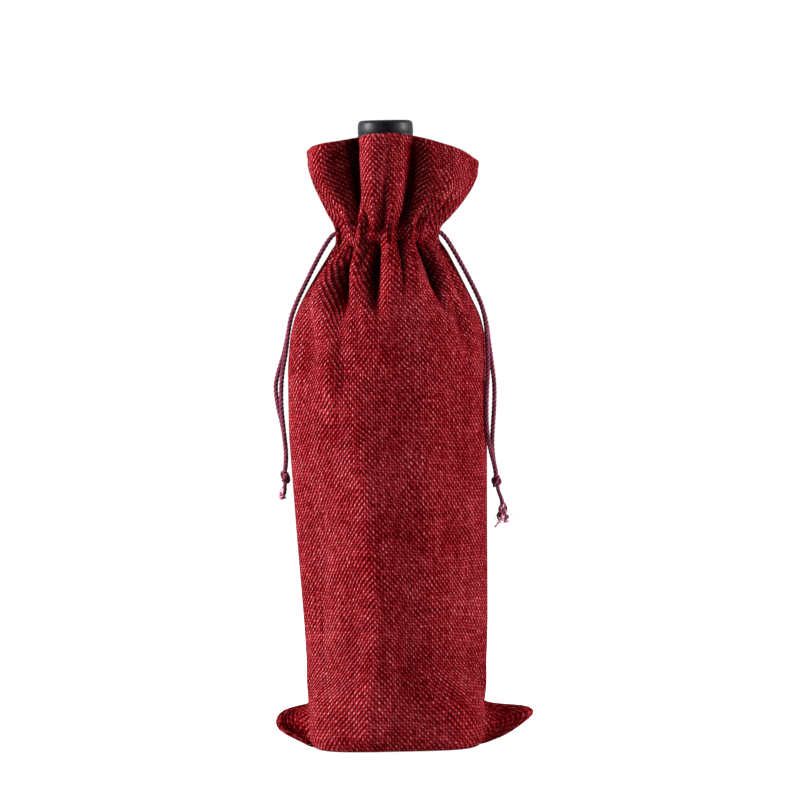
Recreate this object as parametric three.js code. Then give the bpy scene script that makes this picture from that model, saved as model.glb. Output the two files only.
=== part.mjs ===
// Drawstring gift bag of coarse woven cloth, standing upright around a stoppered wine bottle.
// Millimetres, +Z up, the front of the bag faces -Y, the origin is under the middle of the base.
import * as THREE from "three";

// Cloth and sewing
const CLOTH = 1.2; // thickness of the woven cloth
const GAP = 0.3; // clearance between pieces that touch
const THREAD = 0.8; // thickness of a row of sewing thread
const SEAM_HALF = (CLOTH + GAP) / 2; // from the side seam's plane to the middle of a panel
const SEAM_RIDGE = 0.8; // how far the plain side seam stands out
const SEAM_ROOT = 0.65; // how much further apart the panels are at the root of that ridge
const SEAM_CORNER = 2.25; // from the seam's plane to where a panel's curved part starts
const STITCH_LIFT = 4 * GAP; // clearance of a row of stitches over the cloth
const ARC_STEPS = 16; // facets across one panel
const RING_STEPS = 40; // facets round a row of stitches

// Bag, from the heel to the top fold: height, half width and half depth of the middle of the cloth,
// and how far it hangs to the right of the bottle's axis
const BAG_STATIONS = [
  [0.6, 39.0, 34.5, 0],
  [2.6, 41.8, 38.0, 0],
  [8, 42.4, 38.9, 0],
  [16.5, 42.6, 39.0, 0],
  [22, 42.9, 39.0, 0],
  [60, 44.4, 39.1, -0.2],
  [110, 46.6, 39.2, -1.4],
  [155, 48.2, 39.4, -1.8],
  [190, 48.7, 39.6, -1.3],
  [205, 47.6, 39.2, -0.9],
  [214, 45.6, 38.0, -1.0],
  [222, 41.9, 35.8, -1.2],
  [230, 37.6, 33.0, -0.8],
  [238, 33.3, 30.2, -0.4],
  [245, 29.4, 27.2, 0],
  [250.5, 26.0, 25.2, 0],
  [253, 24.8, 24.4, 0],
  [256, 24.3, 24.0, 0],
  [259, 24.9, 24.3, 0],
  [261.5, 26.6, 25.0, 0.2],
  [268, 30.8, 26.6, 1.0],
  [276, 35.0, 27.6, 2.0],
  [285, 39.2, 28.0, 2.6],
  [294, 41.6, 27.4, 2.8],
  [303, 42.4, 26.0, 2.8],
];
const COLLAR_FOOT = 261.5; // height of the upper row of sewing, where the collar starts to flare
const COLLAR_TOP = 303; // height of the top fold at the middle of the front
const COLLAR_DROP = 8; // how much lower the top fold is at the sides
const FOLD_IN = 1.6; // from the panel to its turned-down facing, middle to middle
const HEEL_INSET = 0.86; // the bottom seam's length as a share of the bag's width at its heel
// The facing bends inward between the two rows of sewing, which leaves a tunnel for the cords.
const TUNNEL_STATIONS = [
  [259.7, 18.2, 18.1],
  [256, 17.7, 17.7],
  [252.3, 18.2, 18.1],
];
const LOWER_ROW = 250.5; // height of the lower row of sewing
const FACING_EDGE = 248.6; // height of the facing's raw lower edge
const SLIT = [252, 260]; // heights between which the side seams are left open
const SLIT_HALF = 4; // half width of that opening, to the middle of the cloth
const EAR = { tip: 16.5, top: 22, reach: 22.4 }; // corners of the flat bag that stand out sideways

// Bottle, heights from its own foot
const BOTTLE_FOOT = 2.8; // it stands on the bottom seam's turned-in cloth
const BOTTLE = { radius: 37.5, wall: 3.2, shoulder: 186, neckFoot: 236, height: 308.5, punt: 14 };
const NECK = { foot: 14.9, lip: 12.9, bore: 9.25, boreFoot: 262, throat: 11.6 };
const CORK = { radius: 8.95, length: 45 };
const WINE_LEVEL = 246;
const CAPSULE = { foot: 248, wall: 0.5 };
const TURN_STEPS = 32; // facets round the bottle

// Drawstrings
const CORD = 2.4; // cord diameter
const CORD_SIDES = 8;
const CORD_STEP = 6; // length of one straight piece of cord
const LOOP_RADIUS = 19.9; // run of the cords inside the tunnel
const LOOP_START = 0.47; // angle from the slit at which a cord joins that run, in radians
const LOOP_HEIGHT = { left: 257.7, right: 254.7 };
const EXIT = { x: 25, y: 1.75, z: 256 }; // where both strands leave a slit
// Free strands from the slit to the knot, front strand then back strand
const ROUTES = {
  left: {
    front: [
      [-25.3, -1.75, 256], [-27.2, -1.8, 255.4], [-30.0, -1.9, 252.0], [-33.2, -2.0, 246.9],
      [-37.0, -2.1, 240.0], [-41.2, -2.2, 231.8], [-45.4, -2.3, 223.4], [-48.9, -2.4, 214.6],
      [-50.7, -2.4, 205.5], [-52.0, -2.4, 196.5], [-53.8, -2.6, 187.0], [-54.6, -2.8, 178.0],
      [-54.6, -2.4, 169.5], [-54.0, -1.8, 161.5], [-53.3, -1.5, 153.0], [-52.9, -1.5, 145.5],
      [-53.3, -1.5, 139.4],
    ],
    back: [
      [-25.3, 1.75, 256], [-27.2, 1.8, 255.4], [-30.0, 1.9, 252.0], [-33.2, 2.0, 246.9],
      [-37.0, 2.1, 240.0], [-41.2, 2.2, 231.8], [-45.4, 2.3, 223.4], [-48.9, 2.4, 214.6],
      [-50.9, 2.4, 205.5], [-53.0, 2.4, 196.5], [-56.0, 2.0, 187.0], [-57.4, 1.6, 179.5],
      [-56.4, 1.6, 170.0], [-54.6, 1.6, 161.5], [-53.4, 1.5, 153.0], [-52.9, 1.5, 145.5],
      [-53.3, 1.5, 139.4],
    ],
  },
  right: {
    front: [
      [25.3, -1.75, 256], [27.0, -1.8, 255.3], [29.6, -1.9, 252.2], [32.4, -2.0, 247.6],
      [35.9, -2.1, 241.2], [39.6, -2.2, 234.0], [43.3, -2.3, 226.4], [46.4, -2.6, 218.8],
      [48.2, -4.2, 210.0], [48.7, -8.0, 200.0], [48.8, -10.0, 188.5], [48.0, -11.0, 176.0],
      [47.6, -11.0, 165.0], [48.0, -9.6, 155.0], [49.6, -5.6, 146.0], [51.2, -2.2, 139.4],
      [52.0, -1.5, 134.6],
    ],
    back: [
      [25.3, 1.75, 256], [27.0, 1.8, 255.3], [29.6, 1.9, 252.2], [32.4, 2.0, 247.6],
      [35.9, 2.1, 241.2], [39.6, 2.2, 234.0], [43.3, 2.3, 226.4], [46.4, 2.4, 218.8],
      [48.6, 2.4, 210.0], [49.8, 2.4, 200.0], [51.0, 2.2, 190.0], [52.0, 2.0, 180.0],
      [51.9, 2.0, 170.0], [51.1, 1.8, 159.5], [50.5, 1.7, 150.0], [51.0, 1.6, 141.5],
      [52.2, 1.5, 134.6],
    ],
  },
};
const KNOTS = {
  left: { centre: [-53.5, 0, 134.8], radii: [2.7, 2.9, 3.9] },
  right: { centre: [52.2, 0, 130.7], radii: [2.8, 2.8, 3.6] },
};
// Loose cord ends below each knot, drawn for the front end; the back end mirrors it
const TAILS = {
  left: [[-53.7, -1.4, 130.3], [-54.3, -1.8, 128.2], [-55.0, -2.2, 126.0]],
  right: [[52.9, -1.4, 126.4], [54.6, -1.7, 122.4], [55.4, -2.1, 117.5], [54.6, -2.6, 110.5]],
};

const LOOKS = {
  cloth: [0x7c2028, 0.95],
  thread: [0x5a141c, 0.9],
  cord: [0x4a1118, 0.9],
  glass: [0x14301c, 0.1],
  wine: [0x2a040a, 0.2],
  cork: [0xb98d5f, 0.85],
  capsule: [0x18181b, 0.5],
};

const root = new THREE.Group();

function add(name, geometry, look) {
  const [color, roughness] = LOOKS[look];
  const mesh = new THREE.Mesh(geometry, new THREE.MeshStandardMaterial({ color, roughness }));
  mesh.name = name;
  root.add(mesh);
  return mesh;
}

function vector(values) {
  return new THREE.Vector3(...values);
}

// Builds an indexed geometry and turns its faces outward if they came out facing in.
function closedGeometry(points, triangles) {
  const volume = triangles.reduce((sum, [a, b, c]) => {
    return sum + points[a].dot(points[b].clone().cross(points[c]));
  }, 0);
  const outward = volume > 0 ? triangles : triangles.map(([a, b, c]) => [a, c, b]);
  const geometry = new THREE.BufferGeometry().setFromPoints(points);
  geometry.setIndex(outward.flat());
  geometry.computeVertexNormals();
  return geometry;
}

// Thickens a grid of points, rows by columns, into one closed sheet.
function thickSheet(grid, thickness) {
  const rows = grid.length;
  const columns = grid[0].length;
  const faces = [[], []];
  for (let r = 0; r < rows; r += 1) {
    for (let c = 0; c < columns; c += 1) {
      const across = grid[r][Math.min(c + 1, columns - 1)].clone().sub(grid[r][Math.max(c - 1, 0)]);
      const along = grid[Math.min(r + 1, rows - 1)][c].clone().sub(grid[Math.max(r - 1, 0)][c]);
      const normal = across.cross(along).setLength(thickness / 2);
      faces[0].push(grid[r][c].clone().add(normal));
      faces[1].push(grid[r][c].clone().sub(normal));
    }
  }
  const triangles = [];
  const quad = (a, b, c, d) => triangles.push([a, b, c], [a, c, d]);
  const under = rows * columns;
  const at = (r, c) => r * columns + c;
  for (let r = 0; r < rows - 1; r += 1) {
    for (let c = 0; c < columns - 1; c += 1) {
      quad(at(r, c), at(r, c + 1), at(r + 1, c + 1), at(r + 1, c));
      quad(under + at(r, c), under + at(r + 1, c), under + at(r + 1, c + 1), under + at(r, c + 1));
    }
    quad(at(r, 0), at(r + 1, 0), under + at(r + 1, 0), under + at(r, 0));
    const last = columns - 1;
    quad(at(r + 1, last), at(r, last), under + at(r, last), under + at(r + 1, last));
  }
  for (let c = 0; c < columns - 1; c += 1) {
    quad(at(0, c + 1), at(0, c), under + at(0, c), under + at(0, c + 1));
    const last = rows - 1;
    quad(at(last, c), at(last, c + 1), under + at(last, c + 1), under + at(last, c));
  }
  return closedGeometry([...faces[0], ...faces[1]], triangles);
}

// How far the side seam stands out at a height: the ear near the base, a small ridge above it.
function seamReach(height) {
  if (height >= EAR.top) return SEAM_RIDGE;
  const rising = THREE.MathUtils.mapLinear(height, BAG_STATIONS[0][0], EAR.tip, SEAM_RIDGE, EAR.reach);
  const falling = THREE.MathUtils.mapLinear(height, EAR.tip, EAR.top, EAR.reach, SEAM_RIDGE);
  return Math.min(rising, falling);
}

// The rows of one panel, from the bottom seam up the outside, over the top fold and down inside.
function clothRows() {
  const outside = BAG_STATIONS.map(([height, width, depth, shift]) => {
    const open = height > SLIT[0] && height < SLIT[1];
    return { height, width, depth, shift, seam: open ? SLIT_HALF : SEAM_HALF, reach: seamReach(height) };
  });
  const inside = (height, width, depth, shift = 0) => {
    return { height, width, depth, shift, seam: SEAM_HALF, reach: 0.1 };
  };
  const facing = ([height, width, depth, shift]) => {
    return inside(height, width - FOLD_IN, depth - FOLD_IN, shift);
  };
  const [topHeight, topWidth, topDepth, topShift] = BAG_STATIONS.at(-1);
  const fold = inside(topHeight + FOLD_IN / 2, topWidth - FOLD_IN / 2, topDepth - FOLD_IN / 2, topShift);
  const collar = BAG_STATIONS.filter(([height]) => height >= COLLAR_FOOT);
  const lowerRow = BAG_STATIONS.find(([height]) => height === LOWER_ROW);
  return [
    ...[0, 1 / 3, 2 / 3].map((floor) => ({ ...outside[0], floor })),
    ...outside,
    fold,
    ...collar.reverse().map(facing),
    ...TUNNEL_STATIONS.map((station) => inside(...station)),
    facing(lowerRow),
    facing([FACING_EDGE, lowerRow[1] + 1, lowerRow[2] + 0.7, 0]),
  ];
}

// One row of a panel: side -1 is the front panel, side 1 is the back panel.
function clothRow(side, row) {
  const edge = [
    [row.width + row.reach, row.seam],
    [row.width + 0.3 * row.reach, row.seam + SEAM_ROOT],
  ];
  const start = Math.asin((row.seam + SEAM_CORNER) / row.depth);
  const arc = [];
  for (let i = 0; i <= ARC_STEPS; i += 1) {
    const angle = THREE.MathUtils.lerp(start, Math.PI - start, i / ARC_STEPS);
    arc.push([row.width * Math.cos(angle), row.depth * Math.sin(angle)]);
  }
  const mirrored = edge.map(([x, y]) => [-x, y]).reverse();
  return [...edge, ...arc, ...mirrored].map(([x, y]) => {
    const cos = x / Math.hypot(x, y * row.width / row.depth);
    const stretch = (COLLAR_TOP - COLLAR_DROP * cos * cos - COLLAR_FOOT) / (COLLAR_TOP - COLLAR_FOOT);
    const rise = Math.max(row.height - COLLAR_FOOT, 0);
    const height = Math.min(row.height, COLLAR_FOOT) + rise * stretch;
    const floor = row.floor ?? 1;
    const inward = THREE.MathUtils.lerp(HEEL_INSET, 1, floor);
    return new THREE.Vector3(x * inward + row.shift, side * THREE.MathUtils.lerp(GAP / 2, y, floor), height);
  });
}

function panel(side) {
  return thickSheet(clothRows().map((row) => clothRow(side, row)), CLOTH);
}

// Half width, half depth and sideways shift of the cloth's middle at any height on the outside.
function bagAt(height) {
  const next = Math.max(BAG_STATIONS.findIndex(([top]) => top >= height), 1);
  const high = BAG_STATIONS[next];
  const low = BAG_STATIONS[next - 1];
  const part = (height - low[0]) / (high[0] - low[0]);
  return [1, 2, 3].map((k) => THREE.MathUtils.lerp(low[k], high[k], part));
}

// Extrudes a round section with few sides along a smooth route.
function tube(route, diameter, sides, step) {
  const curve = new THREE.CatmullRomCurve3(route.map(vector));
  const section = new THREE.Shape();
  for (let i = 0; i < sides; i += 1) {
    const angle = (2 * Math.PI * i) / sides;
    const corner = [Math.cos(angle) * diameter / 2, Math.sin(angle) * diameter / 2];
    if (i === 0) section.moveTo(...corner);
    else section.lineTo(...corner);
  }
  section.closePath();
  const steps = Math.max(2, Math.round(curve.getLength() / step));
  return new THREE.ExtrudeGeometry(section, { steps, extrudePath: curve, bevelEnabled: false });
}

// The hidden row of thread that joins the panels along one side, just inside the seam.
function sideSeam(sign) {
  const inset = CLOTH / 2 + GAP + THREAD;
  const heights = [24, 60, 110, 155, 190, 205, 214, 222, 230, 238, 245];
  const route = heights.map((z) => {
    const [width, , shift] = bagAt(z);
    return [shift + sign * (width - inset), 0, z];
  });
  return tube(route, THREAD, 4, 12);
}

function bottomSeam() {
  const height = CLOTH + GAP + THREAD / 2;
  const end = BAG_STATIONS[0][1] - 4;
  return tube([[-end, 0, height], [0, 0, height], [end, 0, height]], THREAD, 4, 20);
}

// A row of running stitches round the neck, standing on the outside of both panels.
function stitchRow(height) {
  const [width, depth, shift] = bagAt(height);
  const inner = CLOTH / 2 + STITCH_LIFT;
  const offsets = [[inner, -1], [inner + THREAD / 2, -1], [inner + THREAD / 2, 1], [inner, 1]];
  const points = [];
  const triangles = [];
  for (let i = 0; i < RING_STEPS; i += 1) {
    const angle = (2 * Math.PI * i) / RING_STEPS;
    offsets.forEach(([out, up]) => {
      const x = shift + (width + out) * Math.cos(angle);
      const y = (depth + out) * Math.sin(angle);
      points.push(new THREE.Vector3(x, y, height + up * THREAD / 2));
    });
    for (let k = 0; k < 4; k += 1) {
      const here = 4 * i + k;
      const besides = 4 * i + ((k + 1) % 4);
      const ahead = 4 * ((i + 1) % RING_STEPS) + k;
      const across = 4 * ((i + 1) % RING_STEPS) + ((k + 1) % 4);
      triangles.push([here, ahead, across], [here, across, besides]);
    }
  }
  return closedGeometry(points, triangles);
}

// The part of a drawstring inside the tunnel: in at one slit, all the way round and out again.
function casingLoop(sign, height) {
  const middle = (EXIT.z + height) / 2;
  const way = [[EXIT.x - GAP, EXIT.y, EXIT.z], [23.4, 1.9, EXIT.z], [21.9, 2.8, middle], [20.5, 4.8, height]];
  const turns = 10;
  for (let i = 0; i <= turns; i += 1) {
    const angle = THREE.MathUtils.lerp(LOOP_START, Math.PI, i / turns);
    way.push([LOOP_RADIUS * Math.cos(angle), LOOP_RADIUS * Math.sin(angle), height]);
  }
  const back = way.map(([x, y, z]) => [sign * x, y, z]);
  const front = back.slice(0, -1).reverse().map(([x, y, z]) => [x, -y, z]);
  return tube([...back, ...front], CORD, CORD_SIDES, 4.5);
}

function knot({ centre, radii }) {
  const geometry = new THREE.SphereGeometry(1, 12, 8).rotateX(Math.PI / 2);
  return geometry.scale(...radii).translate(...centre);
}

// Turns a profile of [radius, height] pairs about the upright axis of the bottle.
function turned(profile, steps = TURN_STEPS) {
  const points = profile.map(([radius, height]) => new THREE.Vector2(radius, height));
  return new THREE.LatheGeometry(points, steps).rotateX(Math.PI / 2).translate(0, 0, BOTTLE_FOOT);
}

// Points of a curved stretch between its ends.
function bend(from, control, to, count, secondControl) {
  const ends = [from, control, ...(secondControl ? [secondControl] : []), to];
  const corners = ends.map(([x, y]) => new THREE.Vector2(x, y));
  const curve = secondControl
    ? new THREE.CubicBezierCurve(...corners)
    : new THREE.QuadraticBezierCurve(...corners);
  return curve.getPoints(count).map(({ x, y }) => [x, y]);
}

function neckRadius(height) {
  const { neckFoot, height: top } = BOTTLE;
  return THREE.MathUtils.mapLinear(height, neckFoot, top, NECK.foot, NECK.lip);
}

// The inside of the bottle from its floor to a level in the neck, drawn in by a clearance.
function bottleInside(clearance, level) {
  const radius = BOTTLE.radius - BOTTLE.wall - clearance;
  const throat = NECK.throat - clearance;
  const floor = BOTTLE.punt + 4 + clearance;
  const { neckFoot } = BOTTLE;
  const end = THREE.MathUtils.mapLinear(level, neckFoot, NECK.boreFoot, throat, NECK.bore - clearance);
  return [
    [0, floor],
    ...bend([18, floor - 2], [radius, 4 + clearance], [radius, 14], 4),
    ...bend([radius, BOTTLE.shoulder - 2], [radius, 207], [throat, neckFoot], 9, [throat + 2, 207]),
    [end, level],
  ];
}

function bottleGlass() {
  const { radius, shoulder, neckFoot, height, punt } = BOTTLE;
  const outside = [
    ...bend([0, punt], [20, punt - 1], [30, 0], 4),
    ...bend([33, 0], [radius, 0], [radius, 5], 3),
    ...bend([radius, shoulder], [radius, 208], [NECK.foot, neckFoot], 9, [NECK.foot + 2, 208]),
    [NECK.lip, height],
    [NECK.bore, height],
  ];
  return turned([...outside, ...bottleInside(0, NECK.boreFoot).reverse()]);
}

function wine() {
  return turned([...bottleInside(GAP, WINE_LEVEL), [0, WINE_LEVEL]]);
}

function cork() {
  const top = BOTTLE.height - 1;
  const foot = top - CORK.length;
  const { radius } = CORK;
  return turned([[0, foot], [radius - 0.8, foot], [radius, foot + 0.8], [radius, top], [0, top]], 24);
}

// A thin cup pushed over the neck and the lip.
function capsule() {
  const top = BOTTLE.height + GAP;
  const inner = (z) => neckRadius(z) + GAP;
  const outer = (z) => inner(z) + CAPSULE.wall;
  const crown = top + CAPSULE.wall;
  return turned([
    [0, top],
    [inner(top), top],
    [inner(CAPSULE.foot), CAPSULE.foot],
    [outer(CAPSULE.foot), CAPSULE.foot],
    ...bend([outer(top), top - 1], [outer(top), crown], [outer(top) - 1.6, crown], 3),
    [0, crown],
  ]);
}

function mirrorFrontToBack(route) {
  return route.map(([x, y, z]) => [x, -y, z]);
}

function addDrawstring(side, sign) {
  add(`${side}_casing_cord`, casingLoop(sign, LOOP_HEIGHT[side]), "cord");
  for (const place of ["front", "back"]) {
    add(`${side}_${place}_strand`, tube(ROUTES[side][place], CORD, CORD_SIDES, CORD_STEP), "cord");
    const tail = place === "front" ? TAILS[side] : mirrorFrontToBack(TAILS[side]);
    add(`${side}_${place}_tail`, tube(tail, CORD * 0.9, CORD_SIDES, 4), "cord");
  }
  add(`${side}_knot`, knot(KNOTS[side]), "cord");
}

function addBag() {
  add("front_panel", panel(-1), "cloth");
  add("back_panel", panel(1), "cloth");
  add("left_side_seam", sideSeam(-1), "thread");
  add("right_side_seam", sideSeam(1), "thread");
  add("bottom_seam", bottomSeam(), "thread");
  add("casing_stitch_upper", stitchRow(COLLAR_FOOT), "thread");
  add("casing_stitch_lower", stitchRow(LOWER_ROW), "thread");
}

function addBottle() {
  add("bottle_glass", bottleGlass(), "glass");
  add("wine", wine(), "wine");
  add("cork", cork(), "cork");
  add("capsule", capsule(), "capsule");
}

addBag();
addDrawstring("left", -1);
addDrawstring("right", 1);
addBottle();

export default root;
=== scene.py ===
"""A drawstring gift bag of coarse woven cloth, gathered round the neck of a wine bottle.

The cloth is one tube of woven fabric, gathered on its two cords and relaxed by a small position-based
cloth solver against the bottle, then cut into its front and back panels. Shapes are worked out in
millimetres and the meshes are made in metres.
"""
import math

import bpy
import numpy as np
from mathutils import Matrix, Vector


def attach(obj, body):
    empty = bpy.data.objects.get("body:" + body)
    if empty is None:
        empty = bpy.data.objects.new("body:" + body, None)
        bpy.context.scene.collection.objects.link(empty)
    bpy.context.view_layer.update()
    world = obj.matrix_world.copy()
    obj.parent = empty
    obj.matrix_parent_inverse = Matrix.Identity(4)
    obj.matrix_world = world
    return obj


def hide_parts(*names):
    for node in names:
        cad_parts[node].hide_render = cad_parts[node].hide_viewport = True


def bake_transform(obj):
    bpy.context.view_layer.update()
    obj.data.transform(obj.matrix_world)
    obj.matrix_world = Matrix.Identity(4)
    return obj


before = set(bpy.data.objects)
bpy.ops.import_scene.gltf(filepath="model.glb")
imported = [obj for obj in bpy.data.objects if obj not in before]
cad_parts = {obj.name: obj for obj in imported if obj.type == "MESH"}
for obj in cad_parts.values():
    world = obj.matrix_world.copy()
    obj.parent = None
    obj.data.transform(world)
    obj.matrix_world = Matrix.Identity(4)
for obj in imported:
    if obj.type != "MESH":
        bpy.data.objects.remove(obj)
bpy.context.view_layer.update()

MM = 0.001
TAU = 2 * math.pi

# Cloth
FLAT_WIDTH = 146.0  # the bag laid flat, one panel
CLOTH = 1.1  # thickness
WARP_PITCH = 1.3  # from one upright yarn to the next
WEFT_PITCH = 1.5  # from one level yarn to the next
COLUMNS = 144  # cloth points round the bag
ROW_STEP = 2.1  # between cloth points up the bag
UPPER_ROW = 261.5  # rows of sewing that make the tunnel for the cords
LOWER_ROW = 250.5
COLLAR_TOP = 304.0
COLLAR_DROP = {1: 13.5, -1: 7.0}  # how much lower the top fold is at the right and left corners
HEM = 5.0  # from the top fold to the crease of its seam allowance
GATHERS = 17  # small folds round the gathered neck
GATHER_HEIGHT = 3.2  # how far they stand in and out
NECK_CLEAR = 17.4  # least radius of the gathered cloth, and least radius where it covers the cords
TUNNEL_CLEAR = 21.2
SEWN = 2.5  # from a row of sewing to where the tunnel has its full clearance

# Height, half width and half depth of the cloth where it hangs smooth, and its sideways shift
SHAPE = np.array([
    [0.6, 40.0, 36.5, 0.0], [2.6, 42.0, 38.4, 0.0], [8, 42.6, 39.0, 0.0], [22, 42.9, 39.2, 0.0],
    [60, 44.5, 39.3, 0.2], [110, 46.5, 39.4, -0.8], [155, 48.2, 39.6, -1.3], [190, 48.6, 39.7, -0.9],
    [205, 47.4, 39.3, -0.8], [214, 45.3, 38.2, -0.9], [222, 41.6, 36.0, -1.1], [230, 37.4, 33.0, -0.8],
    [238, 33.2, 30.0, -0.4], [245, 29.2, 27.0, 0.0], [250.5, 25.8, 24.6, 0.0], [256, 25.2, 23.8, 0.0],
    [261.5, 27.4, 25.2, 0.9], [268, 30.8, 27.0, 1.7], [276, 34.4, 28.6, 2.5], [285, 38.2, 29.6, 3.0],
    [294, 40.9, 29.8, 3.4], [304, 41.7, 29.8, 3.5],
])

# Drawstrings
CORD = 2.4  # diameter
CORD_LAY = 6.6  # length of one full turn of its plies
PLIES = 3
GROOVE = 0.08  # half depth of the grooves between plies, as a share of the radius
LOOP_RADIUS = 18.4  # run of the cords inside the tunnel
LOOP_START = 0.47  # angle from the slit at which a cord joins that run, in radians
LOOP_HEIGHT = {"left": 257.7, "right": 254.7}
EXIT = (25.0, 1.75, 256.0)  # where both strands leave a slit
SIDES = {"left": -1, "right": 1}  # which way along x
# Both strands of a pair fall side by side from the slit, mirrored back to front, and then part
FALLS = {
    "left": [
        (-25.3, 1.75, 256), (-27.2, 1.8, 255.4), (-30, 1.9, 252), (-33.2, 2, 246.9),
        (-37, 2.1, 240), (-41.2, 2.2, 231.8), (-45.4, 2.3, 223.4), (-48.9, 2.4, 214.6),
    ],
    "right": [
        (25.3, 1.75, 256), (27, 1.8, 255.3), (29.6, 1.9, 252.2), (32.4, 2, 247.6),
        (35.9, 2.1, 241.2), (39.6, 2.2, 234), (43.3, 2.3, 226.4),
    ],
}
HANGS = {
    ("left", "front"): [
        (-50.7, -2.4, 205.5), (-52, -2.4, 196.5), (-53.8, -2.6, 187), (-54.6, -2.8, 178),
        (-54.6, -2.4, 169.5), (-54, -1.8, 161.5), (-53.3, -1.5, 153), (-52.9, -1.5, 145.5),
        (-53.3, -1.5, 139.4),
    ],
    ("left", "back"): [
        (-50.9, 2.4, 205.5), (-53, 2.4, 196.5), (-56, 2, 187), (-57.4, 1.6, 179.5), (-56.4, 1.6, 170),
        (-54.6, 1.6, 161.5), (-53.4, 1.5, 153), (-52.9, 1.5, 145.5), (-53.3, 1.5, 139.4),
    ],
    ("right", "front"): [
        (46.4, -2.6, 218.8), (48.2, -4.2, 210), (48.7, -8, 200), (48.8, -10, 188.5), (48, -11, 176),
        (47.6, -11, 165), (48, -9.6, 155), (49.6, -5.6, 146), (51.2, -2.2, 139.4), (52, -1.5, 134.6),
    ],
    ("right", "back"): [
        (46.4, 2.4, 218.8), (48.6, 2.4, 210), (49.8, 2.4, 200), (51, 2.2, 190), (52, 2, 180),
        (51.9, 2, 170), (51.1, 1.8, 159.5), (50.5, 1.7, 150), (51, 1.6, 141.5), (52.2, 1.5, 134.6),
    ],
}
PLACES = {"front": -1, "back": 1}  # which way along y
ROUTES = {(side, place): [(x, PLACES[place] * y, z) for x, y, z in FALLS[side]] + hang
          for (side, place), hang in HANGS.items()}
KNOTS = {"left": ((-53.5, 0, 134.8), (2.7, 2.9, 3.9)), "right": ((52.2, 0, 130.7), (2.8, 2.8, 3.6))}
# Loose ends below each knot: the front one's route, and the length of frayed fibre below it
TAILS = {
    "left": ([(-53.6, -1.2, 132.5), (-53.8, -1.4, 130.3), (-54.3, -1.6, 128.6)], 6.2),
    "right": (
        [(52.6, -1.2, 128.6), (53.2, -1.4, 125.6), (54.6, -1.5, 121.6), (55.2, -1.6, 118.6)], 12.5),
}

# Bottle, heights from its own foot
BOTTLE_FOOT = 2.8
BOTTLE_RADIUS = 37.5
BOTTLE_WALL = 3.2
BOTTLE_HEIGHT = 308.5
SHOULDER = 186.0
NECK_FOOT = 236.0
NECK_RADIUS = 14.9
LIP_RADIUS = 12.9
BORE = 9.25
BORE_FOOT = 262.0
THROAT = 11.6
PUNT = 14.0
CORK_RADIUS = 8.95
CORK_LENGTH = 45.0
WINE_LEVEL = 246.0
CAPSULE_FOOT = 248.0
CAPSULE_WALL = 0.5
GAP = 0.3  # between neighbouring pieces


# ---- meshes and node helpers

def in_scene(name, data):
    thing = bpy.data.objects.new(name, data)
    bpy.context.collection.objects.link(thing)
    return thing


def mesh_object(name, points, faces, corner_uv=None):
    """A smooth-shaded object from points in millimetres; the UV map holds one pair per face corner."""
    mesh = bpy.data.meshes.new(name)
    mesh.from_pydata([tuple(p) for p in np.asarray(points, float) * MM], [], [tuple(f) for f in faces])
    if corner_uv is not None:
        layer = mesh.uv_layers.new(name="flat")
        layer.data.foreach_set("uv", np.asarray(corner_uv, float).ravel())
    mesh.shade_smooth()
    mesh.update()
    return in_scene(name, mesh)


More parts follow.
